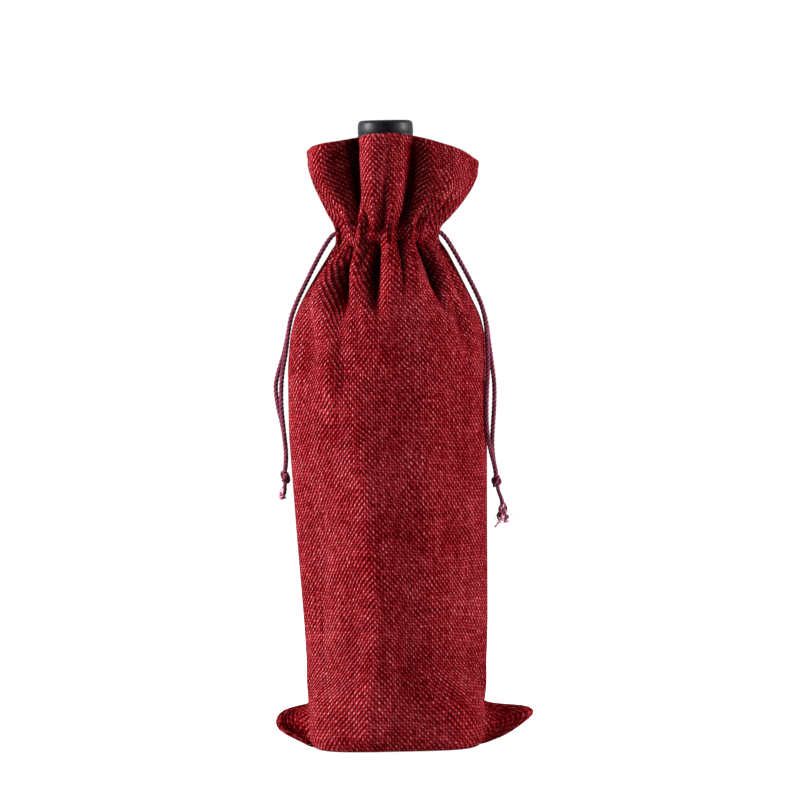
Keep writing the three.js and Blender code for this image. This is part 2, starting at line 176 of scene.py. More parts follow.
class Graph:
    """Short names for the nodes of a material or a world."""

    def __init__(self, owner, shader="Principled BSDF"):
        owner.use_nodes = True
        self.owner = owner
        self.tree = owner.node_tree
        self.shader = self.tree.nodes[shader]

    def plug(self, source, socket):
        if isinstance(source, (int, float, tuple)):
            socket.default_value = source
        else:
            self.tree.links.new(source, socket)

    def made(self, kind, sources=None, **settings):
        """The outputs of a new node; its sources go by the name or the number of the input."""
        node = self.tree.nodes.new(kind)
        for key, value in settings.items():
            setattr(node, key, value)
        for socket, source in (sources or {}).items():
            self.plug(source, node.inputs[socket])
        return node.outputs

    def set(self, **sources):
        """Sources of the shader itself, by name with underscores for spaces."""
        for key, source in sources.items():
            self.plug(source, self.shader.inputs[key.replace("_", " ")])

    def place(self, kind="Object"):
        """The point of the object in metres, at rest, or another kind of coordinates."""
        return self.made("ShaderNodeTexCoord")[kind]

    def split(self, vector):
        return self.made("ShaderNodeSeparateXYZ", {0: vector})

    def flat(self):
        """The two flat coordinates that the UV map holds."""
        return self.split(self.made("ShaderNodeUVMap", uv_map="flat")["UV"])[:2]

    def math(self, operation, *values, clamp=False):
        sources = dict(enumerate(values))
        return self.made("ShaderNodeMath", sources, operation=operation, use_clamp=clamp)[0]

    def times(self, a, b):
        return self.math("MULTIPLY", a, b)

    def plus(self, first, *others):
        for other in others:
            first = self.math("ADD", first, other)
        return first

    def scaled(self, value, factor, shift, clamp=False):
        return self.math("MULTIPLY_ADD", value, factor, shift, clamp=clamp)

    def centred(self, value, amount):
        """A value from 0 to 1 turned into one from -amount / 2 to amount / 2."""
        return self.times(self.math("SUBTRACT", value, 0.5), amount)

    def combine(self, x, y, z=0.0):
        return self.made("ShaderNodeCombineXYZ", {0: x, 1: y, 2: z})[0]

    def noise(self, vector, scale=1.0, detail=2.0, roughness=0.5):
        sources = {"Vector": vector, "Scale": scale, "Detail": detail, "Roughness": roughness}
        return self.made("ShaderNodeTexNoise", sources)["Fac"]

    def white(self, value):
        return self.made("ShaderNodeTexWhiteNoise", {"W": value}, noise_dimensions="1D")["Value"]

    def mix(self, factor, a, b):
        return self.made("ShaderNodeMix", {0: factor, 2: a, 3: b}, data_type="FLOAT")[0]

    def ramp(self, factor, stops):
        node = self.tree.nodes.new("ShaderNodeValToRGB")
        ends = node.color_ramp.elements
        while len(ends) < len(stops):
            ends.new(0.5)
        for element, (place, color) in zip(ends, stops):
            element.position = place
            element.color = (*color, 1)
        self.plug(factor, node.inputs["Fac"])
        return node.outputs["Color"]

    def bump(self, height, distance):
        sources = {"Strength": 1.0, "Distance": distance, "Height": height}
        self.set(Normal=self.made("ShaderNodeBump", sources)["Normal"])

    def towards_front(self, coordinates, *limits):
        """A strength that rises smoothly along y: from, to, least and greatest value."""
        sources = dict(zip(("From Min", "From Max", "To Min", "To Max"), limits))
        sources["Value"] = self.split(self.place(coordinates))[1]
        return self.made("ShaderNodeMapRange", sources, interpolation_type="SMOOTHSTEP")[0]


def look(name):
    return Graph(bpy.data.materials.new(name))


# ---- camera, light, floor

CAMERA_AWAY, CAMERA_HEIGHT, CAMERA_ROLL = 2.0, 0.27, 1.1  # metres, metres, degrees
CAMERA_AIM = Vector((0.0047, 0, 0.1723))
LIGHT_AIM = Vector((0, 0, 0.16))
# Place, size and power of each light, in metres and watts
LIGHTS = {
    "left_softbox": ((-1.0, -0.18, 0.52), (0.4, 0.5), 50),
    "right_softbox": ((1.05, -0.15, 0.50), (0.4, 0.5), 34),
    "top_softbox": ((0, -0.25, 1.3), (0.9, 0.9), 1.5),
}
FLOOR_HALF = 6000.0  # millimetres
WHITE = (1, 1, 1, 1)


def stand_and_aim(thing, place, aim):
    thing.location = place
    thing.rotation_euler = (aim - thing.location).to_track_quat("-Z", "Y").to_euler()


def place_camera():
    camera = in_scene("camera", bpy.data.cameras.new("camera"))
    stand_and_aim(camera, (CAMERA_AIM.x, -CAMERA_AWAY, CAMERA_HEIGHT), CAMERA_AIM)
    camera.rotation_euler.rotate_axis("Z", -math.radians(CAMERA_ROLL))
    camera.data.lens = 180
    bpy.context.scene.camera = camera
    bpy.context.scene.view_settings.view_transform = "Standard"


def place_world():
    """A pale studio: bright behind the object, dimmer in front of it."""
    world = bpy.data.worlds.new("studio")
    bpy.context.scene.world = world
    g = Graph(world, "Background")
    g.set(Color=WHITE, Strength=g.towards_front("Generated", -0.2, 0.8, 0.08, 1.02))


def place_lights():
    for name, (place, size, power) in LIGHTS.items():
        light = bpy.data.lights.new(name, "AREA")
        light.shape = "RECTANGLE"
        light.size, light.size_y = size
        light.energy = power
        stand_and_aim(in_scene(name, light), place, LIGHT_AIM)


def place_floor():
    corners = [(x * FLOOR_HALF, y * FLOOR_HALF, 0) for x, y in ((-1, -1), (1, -1), (1, 1), (-1, 1))]
    floor = mesh_object("floor", corners, [(0, 1, 2, 3)])
    g = look("floor")
    g.set(Base_Color=(0.40, 0.40, 0.40, 1), Roughness=0.9, Specular_IOR_Level=0.1, Emission_Color=WHITE,
          Emission_Strength=g.towards_front("Object", -1.5, -0.35, 0.30, 0.86))
    floor.data.materials.append(g.owner)


place_camera()
place_world()
place_lights()
place_floor()


# ---- materials

# Colours of each look, from its darkest tone to its lightest
CRIMSON = [
    (0.06, (0.016, 0, 0.0002)), (0.28, (0.078, 0.0006, 0.0017)), (0.50, (0.168, 0.0095, 0.0140)),
    (0.72, (0.278, 0.0530, 0.0640)), (0.98, (0.42, 0.190, 0.212)),
]
PLUM = [
    (0.15, (0.010, 0.0008, 0.0030)), (0.45, (0.070, 0.0060, 0.0190)), (0.70, (0.17, 0.022, 0.055)),
    (0.95, (0.36, 0.10, 0.17)),
]
FRAYED = [
    (0.10, (0.10, 0.008, 0.024)), (0.40, (0.33, 0.045, 0.10)), (0.70, (0.72, 0.34, 0.44)),
    (0.95, (0.90, 0.68, 0.74)),
]
SEWING = [
    (0.15, (0.030, 0.0015, 0.0030)), (0.50, (0.14, 0.008, 0.014)), (0.85, (0.32, 0.05, 0.065)),
    (0.98, (0.42, 0.10, 0.12)),
]
BLACK = [(0.2, (0.0020, 0.0021, 0.0030)), (0.6, (0.0055, 0.0058, 0.0085)), (0.95, (0.017, 0.018, 0.025))]
GREEN = [(0.3, (0.006, 0.028, 0.010)), (0.7, (0.012, 0.045, 0.016))]
WINE_RED = [(0.3, (0.030, 0.0015, 0.0040)), (0.7, (0.052, 0.0030, 0.0080))]
BARK = [(0.10, (0.10, 0.045, 0.018)), (0.42, (0.38, 0.21, 0.10)), (0.75, (0.58, 0.38, 0.21))]


def weave_material():
    """Plain weave drawn in the cloth's own flat coordinates, which the UV map holds in metres."""
    g = look("woven_cloth")
    x, y = g.flat()
    wander = g.noise(g.combine(x, y), 90, 2)
    wander_level = g.noise(g.combine(y, x, 3.0), 90, 2)
    across = g.plus(g.times(x, 1 / (WARP_PITCH * MM)), g.centred(wander, 1.5))
    drift = g.noise(g.combine(x, y, 7.0), 24, 1)
    along = g.plus(g.times(y, 1 / (WEFT_PITCH * MM)), g.centred(wander_level, 1.5), g.centred(drift, 5.0))
    warp_number = g.math("FLOOR", across)
    weft_number = g.math("FLOOR", along)
    over = g.scaled(g.math("PINGPONG", g.plus(warp_number, weft_number), 1.0), 2.0, -1.0)
    hump_u = g.math("COSINE", g.centred(g.math("FRACT", across), math.pi))
    hump_v = g.math("COSINE", g.centred(g.math("FRACT", along), math.pi))
    thick_warp = g.scaled(g.white(warp_number), 0.34, 0.78)
    thick_weft = g.scaled(g.white(g.plus(weft_number, 517.0)), 0.40, 0.66)
    warp = g.times(g.times(hump_u, g.scaled(g.times(over, hump_v), 0.44, 0.5)), thick_warp)
    weft = g.times(g.times(hump_v, g.scaled(g.times(over, hump_u), -0.44, 0.5)), thick_weft)
    height = g.math("MAXIMUM", warp, weft)
    on_warp = g.math("GREATER_THAN", warp, weft)
    # Yarn colour changes from yarn to yarn and slowly along each one
    slub_warp = g.noise(g.combine(g.times(warp_number, 7.31), g.times(along, 0.09)), 1.0, 4, 0.65)
    slub_weft = g.noise(g.combine(g.times(across, 0.11), g.times(weft_number, 5.77), 8.0), 1.0, 4, 0.65)
    slub = g.mix(on_warp, slub_weft, slub_warp)
    fibre_warp = g.noise(g.combine(g.times(across, 4.0), g.times(along, 1.3)), 1.0, 2, 0.7)
    fibre_weft = g.noise(g.combine(g.times(across, 1.3), g.times(along, 4.0), 9.0), 1.0, 2, 0.7)
    fibre = g.mix(on_warp, fibre_weft, fibre_warp)
    crossing = g.white(g.plus(g.times(warp_number, 3.17), g.times(weft_number, 11.3)))
    blotch = g.noise(g.combine(x, y, 5.0), 34, 3, 0.6)
    # Painted raking light joins the spots along one diagonal where the cloth faces left, else along the
    # other
    facing = g.split(g.place("Normal"))[0]
    patchy = g.plus(facing, g.centred(g.noise(g.combine(x, y, 2.0), 30, 2), 0.7))
    left = g.scaled(patchy, -4.0, -0.9, clamp=True)
    falling = g.math("COSINE", g.times(g.math("SUBTRACT", across, along), math.pi))
    rising = g.math("COSINE", g.times(g.plus(across, along), math.pi))
    painted_light_diagonals = g.mix(left, g.times(falling, -1.0), rising)
    painted_shade = g.made("ShaderNodeAttribute", attribute_name="painted_shade")["Fac"]
    # Besides the yarns' own colour, the tone holds painted highlights on the yarns' tops, painted shade in
    # the gaps between them and the painted diagonals
    tone = g.plus(
        g.centred(slub, 0.42), g.centred(fibre, 0.32), g.centred(crossing, 0.20), g.centred(blotch, 0.36),
        g.times(on_warp, 0.10), g.times(height, 0.40), g.times(painted_light_diagonals, g.mix(left, 0.08, 0.15)))
    # Painted shade: the colour is darker the deeper the cloth lies in a fold, and on the ears
    tone = g.math("SUBTRACT", tone, g.scaled(painted_shade, 0.45, -0.135), clamp=True)
    g.set(Base_Color=g.ramp(tone, CRIMSON), Roughness=0.95, Specular_IOR_Level=0.0)
    g.bump(g.plus(g.times(height, 0.6), g.times(painted_light_diagonals, 0.3), g.centred(fibre, 0.20)), 1.3 * MM)
    return g.owner


def cord_material(name, stops, weight=1.0):
    """Twisted plies. The first flat coordinate is turns round the cord, the second metres along it."""
    g = look(name)
    turn, way = g.flat()
    ply = g.math("SUBTRACT", turn, g.times(way, 1 / (CORD_LAY * MM)))
    ridge = g.scaled(g.math("COSINE", g.times(ply, PLIES * TAU)), 0.5, 0.5)
    fibre = g.noise(g.combine(g.times(ply, 26.0), g.times(way, 700.0)), 1.0, 3, 0.7)
    blotch = g.noise(g.combine(g.times(turn, 2.0), g.times(way, 150.0), 4.0))
    # Painted shade: the grooves between the plies are darker than the plies' crowns
    tone = g.plus(g.centred(fibre, 0.7), g.centred(blotch, 0.5), g.scaled(ridge, 0.24, 0.36))
    tone = g.math("MULTIPLY", tone, weight, clamp=True)
    g.set(Base_Color=g.ramp(tone, stops), Roughness=0.72, Sheen_Weight=0.04, Sheen_Roughness=0.4,
          Sheen_Tint=(0.95, 0.55, 0.7, 1), Specular_IOR_Level=0.12)
    g.bump(g.plus(fibre, g.times(ridge, 0.6)), 0.3 * MM)
    return g.owner


def capsule_material():
    """Matt black shrink cap: fine level drawing marks, scuffs and a few specks of dust."""
    g = look("capsule_foil")
    place = g.place()
    x, y, z = g.split(place)
    rings = g.noise(g.combine(g.times(x, 6.0), g.times(y, 6.0), g.times(z, 900.0)), 1.0, 3, 0.6)
    scuff = g.noise(place, 160, 4, 0.65)
    dust = g.math("GREATER_THAN", g.noise(place, 1500), 0.70)
    tone = g.plus(g.centred(rings, 0.5), g.scaled(scuff, 0.7, 0.1))
    tone = g.math("ADD", tone, g.times(dust, 0.10), clamp=True)
    g.set(Base_Color=g.ramp(tone, BLACK), Roughness=g.scaled(scuff, 0.35, 0.30), Specular_IOR_Level=0.10,
          Coat_Weight=0.04, Coat_Roughness=0.3)
    g.bump(g.plus(g.times(rings, 0.5), scuff), 0.05 * MM)
    return g.owner


def glass_material():
    """Dark green bottle glass with slow waves and a few seeds in it."""
    g = look("bottle_glass")
    place = g.place()
    wave = g.noise(place, 26)
    seeds = g.math("GREATER_THAN", g.noise(place, 420, 1, 0.4), 0.76)
    g.set(Base_Color=g.ramp(wave, GREEN), Roughness=g.scaled(seeds, 0.2, 0.03), IOR=1.52,
          Transmission_Weight=0.92)
    g.bump(g.plus(wave, g.times(seeds, 0.05)), 0.6 * MM)
    return g.owner


def wine_material():
    g = look("red_wine")
    depth = g.noise(g.place(), 18)
    g.set(Base_Color=g.ramp(depth, WINE_RED), Roughness=g.scaled(depth, 0.04, 0.02), IOR=1.34,
          Transmission_Weight=0.35)
    return g.owner


def cork_material():
    """Bark grain with dark pores that run across the cork."""
    g = look("cork_bark")
    place = g.place()
    grain = g.noise(place, 240, 4, 0.65)
    pores = g.math("GREATER_THAN", g.noise(place, 520, 3, 0.6), 0.60)
    tone = g.math("SUBTRACT", grain, g.times(pores, 0.34), clamp=True)
    g.set(Base_Color=g.ramp(tone, BARK), Roughness=0.86, Specular_IOR_Level=0.2)
    g.bump(g.math("SUBTRACT", grain, g.times(pores, 0.5)), 0.3 * MM)
    return g.owner


CLOTH_LOOK = weave_material()
CORD_LOOK = cord_material("twisted_cord", PLUM)
FRAY_LOOK = cord_material("frayed_fibre", FRAYED, 1.15)
THREAD_LOOK = cord_material("sewing_thread", SEWING)
CAPSULE_LOOK = capsule_material()
GLASS_LOOK = glass_material()
WINE_LOOK = wine_material()
CORK_LOOK = cork_material()


# ---- tubes along a route

def travelled(points):
    """Length along a row of points, from the first to each of them."""
    return np.concatenate([[0], np.cumsum(np.linalg.norm(np.diff(points, axis=0), axis=1))])


def between(places, known, rows):
    """Rows of a table at places between those where it is known."""
    return np.stack([np.interp(places, known, column) for column in rows.T], axis=-1)


def evenly(points, count):
    """The ends of a number of equal steps along a dense curve."""
    length = travelled(points)
    return between(np.linspace(0, length[-1], count + 1), length, points)


def unit(vectors):
    return vectors / np.linalg.norm(vectors, axis=-1, keepdims=True)


def smooth_route(route, step):
    """Points of a Catmull-Rom curve through a route, one step apart."""
    knots = np.array(route, float)
    ends = [2 * knots[0] - knots[1], *knots, 2 * knots[-1] - knots[-2]]
    t = np.linspace(0, 1, 24, endpoint=False)[:, None]
    dense = []
    for a, b, c, d in zip(ends[:-3], ends[1:-2], ends[2:-1], ends[3:]):
        dense.append(0.5 * (2 * b + (c - a) * t + (2 * a - 5 * b + 4 * c - d) * t ** 2
                            + (3 * b - 3 * c + d - a) * t ** 3))
    dense = np.vstack([*dense, knots[-1:]])
    return evenly(dense, max(int(round(travelled(dense)[-1] / step)), 3))


def side_vectors(centres, closed=False):
    """Two unit vectors across the route at each point, carried along it without twisting."""
    if closed:
        forward = unit(np.roll(centres, -1, axis=0) - np.roll(centres, 1, axis=0))
    else:
        forward = unit(np.gradient(centres, axis=0))
    side = np.array([0, 1.0, 0]) if abs(forward[0, 1]) < 0.9 else np.array([1.0, 0, 0])
    first = []
    for way in forward:
        side = unit(side - way * side.dot(way))
        first.append(side)
    return np.array(first), np.cross(forward, first)


def tube_parts(centres, radius, sides, lay=None, closed=False):
    """Points, faces and face-corner UVs of a round tube, with twisted plies if it has a lay."""
    rings = len(centres)
    first, second = side_vectors(centres, closed)
    angle = np.arange(sides) * TAU / sides
    way = travelled(centres)
    size = np.broadcast_to(radius, (rings,))[:, None] * np.ones(sides)
    if lay:
        size = size * (1 - GROOVE + GROOVE * np.cos(PLIES * (angle - TAU * way[:, None] / lay)))
    across = first[:, None] * np.cos(angle)[:, None] + second[:, None] * np.sin(angle)[:, None]
    points = (centres[:, None] + size[..., None] * across).reshape(-1, 3)
    way = np.append(way, way[-1] + way[-1] / (rings - 1)) * MM
    faces, uv = [], []
    for i in range(rings if closed else rings - 1):
        here, ahead = i * sides, (i + 1) % rings * sides
        for k in range(sides):
            beside = (k + 1) % sides
            faces.append((here + k, here + beside, ahead + beside, ahead + k))
            u0, u1 = k / sides, (k + 1) / sides
            uv += [(u0, way[i]), (u1, way[i]), (u1, way[i + 1]), (u0, way[i + 1])]
    if not closed:
        for ring, order in ((0, range(sides - 1, -1, -1)), (rings - 1, range(sides))):
            faces.append(tuple(ring * sides + k for k in order))
            uv += [(k / sides, way[ring]) for k in order]
    return points, faces, uv


def joined(name, parts, material):
    """One object made of several tubes."""
    points, faces, uv = [], [], []
    count = 0
    for part_points, part_faces, part_uv in parts:
        points.append(part_points)
        faces += [tuple(k + count for k in face) for face in part_faces]
        uv += part_uv
        count += len(part_points)
    thing = mesh_object(name, np.vstack(points), faces, uv)
    thing.data.materials.append(material)
    return thing


def stand_for(thing, node, body):
    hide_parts(node)
    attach(thing, body)
    return thing


# ---- drawstrings

CORD_SIDES = 24
CORD_STEP = 0.45
KNOT_CORD = 0.86  # radius of the cord where it is pulled tight round the knot's core
KNOT_CORE = 1.15  # radius of the strands inside it
KNOT_LAY = 3.6
FRAY_PLIES = 7
FRAY_HAIRS = 8
STRAY_HAIRS = 16  # on each strand


def cord_tube(name, route, node):
    centres = smooth_route(route, CORD_STEP)
    thing = joined(name, [tube_parts(centres, CORD / 2, CORD_SIDES, CORD_LAY)], CORD_LOOK)
    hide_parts(node)
    return thing, centres


def casing_route(side):
    """Inside the tunnel: in at one slit, all the way round and out again."""
    x, y, z = EXIT
    height = LOOP_HEIGHT[side]
    way = [(x - GAP, y, z), (23.4, 1.9, z), (21.9, 2.8, (z + height) / 2), (20.5, 4.8, height)]
    for angle in np.linspace(LOOP_START, math.pi, 15):
        way.append((LOOP_RADIUS * math.cos(angle), LOOP_RADIUS * math.sin(angle), height))
    back = [(SIDES[side] * px, py, pz) for px, py, pz in way]
    return back + [(px, -py, pz) for px, py, pz in back[-2::-1]]


def knot_parts(side):
    """An overhand knot of both strands pulled tight: a trefoil stretched upright round its core."""
    centre, (wide, deep, tall) = KNOTS[side]
    turn = np.linspace(0, TAU, 150, endpoint=False)
    round_core = 2 * turn + 0.5
    outer = wide - KNOT_CORD
    ring = 0.64 * outer + 0.36 * outer * np.cos(3 * turn)
    lean = 0.5 * SIDES[side] * np.cos(round_core)
    rise = (tall - 1.5 * KNOT_CORD) * 0.82 * np.sin(3 * turn)
    x, y = ring * np.cos(round_core), ring * np.sin(round_core) * deep / wide
    loop = np.column_stack([x, y, rise + lean])
    parts = [tube_parts(loop + centre, KNOT_CORD, 16, KNOT_LAY, closed=True)]
    for place, way in PLACES.items():
        x, y, z = ROUTES[side, place][-1]
        foot = TAILS[side][0][0]
        core = [(x, y, z - 0.05), (centre[0] - 0.3, way * 0.8, centre[2] + 1.6),
                (centre[0] + 0.2, way * 0.75, centre[2] - 1.4), (foot[0], -way * foot[1], foot[2] + 0.3)]
        parts.append(tube_parts(smooth_route(core, 0.5), KNOT_CORE, 16, 4.2))
    return parts


def fibre_route(rng, start, length, spread, lean):
    """One loose fibre: it hangs from the cord's end in widening curls."""
    part = np.linspace(0, 1, 20)
    aim = rng.normal(lean, spread)
    angle = rng.uniform(0, TAU) + rng.uniform(3.5, 8.0) * rng.choice([-1, 1]) * part
    curl = length * rng.uniform(0.12, 0.22) * part ** 0.7
    x = length * aim[0] * part + curl * np.cos(angle)
    y = length * aim[1] * part + curl * np.sin(angle)
    drop = length * (0.80 * part + 0.07 * np.sin(angle * 1.6) * part)
    return start + np.column_stack([x, y, -drop])


def tail_parts(side, way, rng):
    """A loose end: a short run of cord that opens into its plies and fibres. Every third ply keeps
    the cord's own colour."""
    route, fray = TAILS[side]
    centres = smooth_route([(x, way * -y, z) for x, y, z in route], CORD_STEP)
    thick = np.interp(np.linspace(0, 1, len(centres)), [0, 0.7, 1], [1.0, 1.05, 1.3])
    cord = [tube_parts(centres, thick, 18, 4.6)]
    end = centres[-1]
    drift = (0.02 if side == "right" else -0.20, 0.1 * way)
    loose = []
    for k in range(FRAY_PLIES):
        angle = TAU * k / FRAY_PLIES
        root = end + [0.7 * math.cos(angle), 0.7 * math.sin(angle), 0.5]
        ply = fibre_route(rng, root, fray * rng.uniform(0.6, 1.1), 0.10, drift)
        frayed = tube_parts(ply, np.linspace(0.80, 0.50, len(ply)), 8, 2.4)
        (loose if k % 3 else cord).append(frayed)
    for _ in range(FRAY_HAIRS):
        root = end + rng.normal(0, 0.45, 3) * [1, 1, 0.6]
        hair = fibre_route(rng, root, fray * rng.uniform(0.6, 1.1), 0.16, drift)
        loose.append(tube_parts(hair, np.linspace(0.17, 0.08, len(hair)), 5))
    return cord, loose


def stray_fibres(side, rng):
    """A few hairs that stand off the strands."""
    parts = []
    for place in PLACES:
        route = smooth_route(ROUTES[side, place], 1.0)
        for _ in range(STRAY_HAIRS):
            start = route[rng.integers(20, len(route) - 2)]
            out = unit(rng.normal(0, 1, 3))
            heading = out + [0, 0, rng.normal(0, 0.7)]
            reach = np.linspace(0, rng.uniform(0.8, 1.9), 5)[:, None]
            parts.append(tube_parts(start + out * 0.9 + heading * reach + out * 0.2 * reach ** 2, 0.035, 4))
    return parts


def loose_end(side, place, rng):
    """A loose end as one piece, in the colour of the cord and in that of its frayed fibres."""
    cord, loose = tail_parts(side, -PLACES[place], rng)
    tail = joined(f"{side}_{place}_end", cord + loose, CORD_LOOK)
    tail.data.materials.append(FRAY_LOOK)
    look_number = np.ones(len(tail.data.polygons), np.int32)
    look_number[:sum(len(faces) for _, faces, _ in cord)] = 0
    tail.data.polygons.foreach_set("material_index", look_number)
    return stand_for(tail, f"{side}_{place}_tail", f"{side}_drawstring")


def make_drawstring(side):
    rng = np.random.default_rng(11 + SIDES[side])
    body = f"{side}_drawstring"
    run, _ = cord_tube(f"{side}_casing_run", casing_route(side), f"{side}_casing_cord")
    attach(run, "bag")
    knot = joined(f"{side}_tied_knot", knot_parts(side), CORD_LOOK)
    stand_for(knot, f"{side}_knot", body)
    tails = [loose_end(side, place, rng) for place in PLACES]
    hairs = joined(f"{side}_stray_fibres", stray_fibres(side, rng), FRAY_LOOK)
    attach(hairs, body)
    for place in PLACES:
        node = f"{side}_{place}_strand"
        strand, centres = cord_tube(f"{side}_{place}_string", ROUTES[side, place], node)
        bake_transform(strand)


for drawstring in SIDES:
    make_drawstring(drawstring)


# ---- the cloth's hanging shape

def smooth_shape():
    """Dense, rounded table of height, half width, half depth, shift and length along the cloth."""
    height = np.arange(SHAPE[0, 0], COLLAR_TOP + 0.01, 0.5)
    width, depth, shift = (np.interp(height, SHAPE[:, 0], SHAPE[:, k]) for k in (1, 2, 3))
    kernel = np.ones(9) / 9
    for values in (width, depth, shift):
        for _ in range(2):
            padded = np.pad(values, 4, mode="edge")
            values[12:] = np.convolve(padded, kernel, "valid")[12:]
    return height, width, depth, shift, travelled(np.column_stack([height, depth]))


*PROFILE, LENGTHS = smooth_shape()
ROWS = int(LENGTHS[-1] / ROW_STEP) + 1
ROW_LENGTH = np.linspace(0, LENGTHS[-1], ROWS)
ROW_HEIGHT, ROW_WIDTH, ROW_DEPTH, ROW_SHIFT = (np.interp(ROW_LENGTH, LENGTHS, part) for part in PROFILE)
HALF = COLUMNS // 2
COLUMN_STEP = 2 * FLAT_WIDTH / COLUMNS
SHARE = np.arange(COLUMNS) / COLUMNS  # place of each column round the bag: 0 right seam, 0.25 front


def smoothstep(x):
    x = np.clip(x, 0, 1)
    return x * x * (3 - 2 * x)


def gather_envelope(height):
    """How much of the full gather is left at a height: all of it in the tunnel, little far away."""
    if height > 256:
        return np.interp(height, [261.5, 264, 268, 274, 284, 304], [1, 0.85, 0.55, 0.28, 0.10, 0.04])
    return np.interp(height, [205, 218, 228, 236, 242, 247, 250.5], [0, 0.05, 0.12, 0.26, 0.5, 0.85, 1])


def gather_wave():
    """The gathers round the neck, uneven in place and size, as radial and sideways shifts."""
    turn = TAU * SHARE
    phase = GATHERS * turn + 0.9 * np.sin(3 * turn + 1.0) + 0.7 * np.sin(5 * turn + 2.2)
    phase += 0.5 * np.sin(8 * turn)
    size = 1 + 0.30 * np.sin(5 * turn + 0.7) + 0.22 * np.sin(11 * turn + 1.9)
    from_seam = np.minimum(SHARE % 0.5, 0.5 - SHARE % 0.5)
    seam = np.exp(-(from_seam / 0.014) ** 2)
    return size * np.cos(phase) * (1 - seam) + 0.9 * seam, -0.34 * size * np.sin(2 * phase) * (1 - seam)


# Larger folds and ridges. Place round the bag where it starts and where it ends, width as a share of
# the way round, depth inward in millimetres (a ridge is negative), and the heights at which it
# starts, is deepest and ends.
FOLDS = [
    (0.372, 0.342, 0.019, 22, 257, 282, 345),
    (0.420, 0.440, 0.026, -4, 262, 290, 335),
    (0.290, 0.280, 0.026, -4, 262, 288, 345),
    (0.190, 0.200, 0.015, 11, 256, 274, 330),
    (0.142, 0.072, 0.026, -4, 262, 288, 335),
    (0.610, 0.600, 0.018, 13, 260, 290, 335),
    (0.745, 0.750, 0.019, 10, 260, 290, 335),
    (0.680, 0.675, 0.030, -2.5, 262, 290, 335),
    (0.875, 0.880, 0.018, 13, 260, 290, 335),
    (0.318, 0.430, 0.0175, 19, 206, 243, 262),
    (0.338, 0.352, 0.028, 5, 172, 212, 240),
    (0.405, 0.430, 0.018, 5.5, 166, 202, 230),
    (0.350, 0.364, 0.015, -3, 158, 190, 222),
    (0.262, 0.298, 0.0115, 10, 208, 240, 261),
    (0.312, 0.352, 0.011, -4, 185, 230, 257),
    (0.400, 0.445, 0.013, -4, 205, 238, 257),
    (0.225, 0.232, 0.011, -3.5, 218, 242, 258),
    (0.190, 0.195, 0.015, -3.5, 205, 236, 257),
    (0.128, 0.124, 0.010, 12, 210, 240, 260),
    (0.095, 0.092, 0.011, -3, 216, 238, 257),
    (0.082, 0.102, 0.015, 4, 180, 214, 236),
    (0.058, 0.050, 0.010, 6, 210, 236, 258),
    (0.465, 0.480, 0.012, 6, 215, 238, 257),
    (0.575, 0.560, 0.013, 12, 204, 238, 259),
    (0.660, 0.680, 0.012, 11, 208, 242, 259),
    (0.735, 0.750, 0.012, 8, 212, 240, 259),
    (0.800, 0.815, 0.013, 13, 202, 240, 259),
    (0.920, 0.935, 0.012, 9, 208, 238, 258),
    (0.292, 0.290, 0.016, -3.5, -50, 14, 70),
    (0.236, 0.250, 0.020, 2.5, -40, 16, 90),
    (0.362, 0.380, 0.038, 4.5, -60, 50, 170),
    (0.245, 0.320, 0.022, -4.2, -10, 95, 225),
    (0.410, 0.425, 0.040, 2.4, 10, 110, 180),
    (0.205, 0.190, 0.030, -2, 10, 120, 225),
    (0.790, 0.830, 0.028, -2.4, 10, 110, 225),
    (0.660, 0.640, 0.028, -2, 10, 130, 225),
]


def fold_depth(height):
    depth = np.zeros(COLUMNS)
    for low, high, width, inward, start, deepest, end in FOLDS:
        rise = smoothstep((height - start) / (deepest - start))
        fall = smoothstep((end - height) / (end - deepest))
        place = np.interp(height, [start, end], [low, high])
        apart = (SHARE - place + 0.5) % 1 - 0.5
        depth += inward * min(rise, fall) * np.exp(-0.5 * (apart / width) ** 2)
    return depth


def slack(height):
    """Broad, shallow undulation of cloth that hangs free of the bottle."""
    turn = TAU * SHARE
    up = height / 60
    amount = 0.5 * smoothstep(height / 30) * smoothstep((250 - height) / 60)
    wave = np.sin(4 * turn + 0.7 * up + 0.4) + 0.7 * np.sin(7 * turn - 1.3 * up + 2.0)
    return amount * wave


def even_angles(width, depth):
    """Angles round an ellipse that cut its edge into equal lengths, one per column."""
    angle = np.linspace(0, TAU, 721)
    length = travelled(np.column_stack([width * np.cos(angle), depth * np.sin(angle)]))
    return np.interp(SHARE * length[-1], length, angle)


# Corners of the flat bag that stand out as ears: the edge of each one from its lower to its upper root
EARS = {
    1: np.array([(43.2, -10.0, 1.0), (55.0, -9.0, 5.0), (65.2, -7.0, 11.8), (71.0, -6.0, 15.6),
                 (67.0, -4.0, 17.0), (54.0, 0.0, 17.4), (43.4, 5.0, 18.2)]),
    -1: np.array([(-42.6, -17.0, 1.6), (-48.5, -15.5, 4.6), (-54.5, -14.0, 7.4), (-59.8, -12.5, 9.6),
                  (-60.6, -10.0, 14.0), (-57.0, -4.0, 17.0), (-49.5, 3.0, 18.4), (-43.0, 8.0, 18.6)]),
}
EAR_CUP = {1: 0.08, -1: 0.24}  # depth of the hollow in an ear's front, as a share of its reach
EAR_COLUMNS = {1: 12, -1: 9}  # columns from the side seam to an ear's root
EAR_PAINTED_SHADE = {1: 0.38, -1: 0.62}  # how dark the painted shade in that hollow is
EAR_TOP_ROW = 18.6  # highest row of cloth that runs out into an ear
EAR_FADE = 26.0  # above that row, over which the cloth finds its own shape again
EAR_ROOT = math.radians(10)  # angle round the foot at which an ear starts
EAR_HALF = 0.6  # half the space between an ear's two panels
FOOT_FLAT = 12.0  # height below which the folds fade into the foot
FOOT_SQUARE = 0.50  # how much squarer than an ellipse the bag is at its foot


